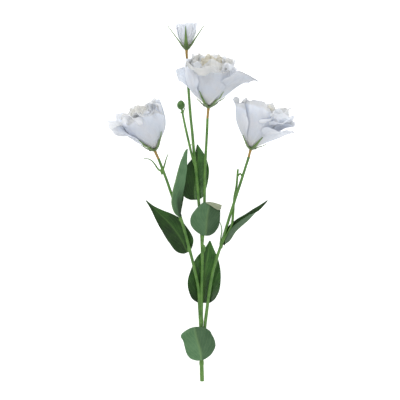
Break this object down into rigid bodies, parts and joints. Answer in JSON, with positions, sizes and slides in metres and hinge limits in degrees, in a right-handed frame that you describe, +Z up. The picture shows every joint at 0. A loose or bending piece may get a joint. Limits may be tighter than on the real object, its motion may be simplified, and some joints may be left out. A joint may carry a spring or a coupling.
{
  "type": "lisianthus flower",
  "caption": "Cut spray of white double lisianthus lying on its back: branched green stem with oval leaves, ruffled open blooms with layered petals, an opening bud and a small green bud.",
  "frame": {"origin": "centre of the bounding box in X and Y, on the surface that the spray lies on", "axes": "+Y runs from the cut end of the stem to the topmost bud and is the longest extent; +Z is up from the surface the spray lies on and is the shortest extent; +X is to the right as seen from above"},
  "size_m": [0.1873, 0.3621, 0.0602],
  "materials": {
    "petal_white": "soft white petal with faint veins and a bluish shade",
    "heart_cream": "matt cream-yellow stamens and pale green stigma",
    "stem_green": "smooth fresh green stem, slightly waxy",
    "sepal_green": "smooth yellow-green sepal",
    "leaf_green": "waxy leaf, dark glossy above and lighter matt below, with a raised midrib",
    "pedicel_amber": "smooth amber-brown flower stalk"
  },
  "bodies": {
    "root": {"stem": "stem_green", "leaf_bottom": "leaf_green", "leaf_low": "leaf_green", "leaf_centre": "leaf_green", "leaf_left": "leaf_green", "leaf_folded": "leaf_green", "leaf_high": "leaf_green", "leaf_right": "leaf_green", "pedicel_main": "pedicel_amber", "calyx_main": "sepal_green", "corolla_main": "petal_white", "heart_main": "heart_cream", "pedicel_left": "pedicel_amber", "calyx_left": "sepal_green", "corolla_left": "petal_white", "heart_left": "heart_cream", "pedicel_right": "pedicel_amber", "calyx_right": "sepal_green", "corolla_right": "petal_white", "heart_right": "heart_cream", "pedicel_top": "pedicel_amber", "calyx_top": "sepal_green", "corolla_top": "petal_white", "bud_green": "sepal_green"}
  },
  "joints": []
}
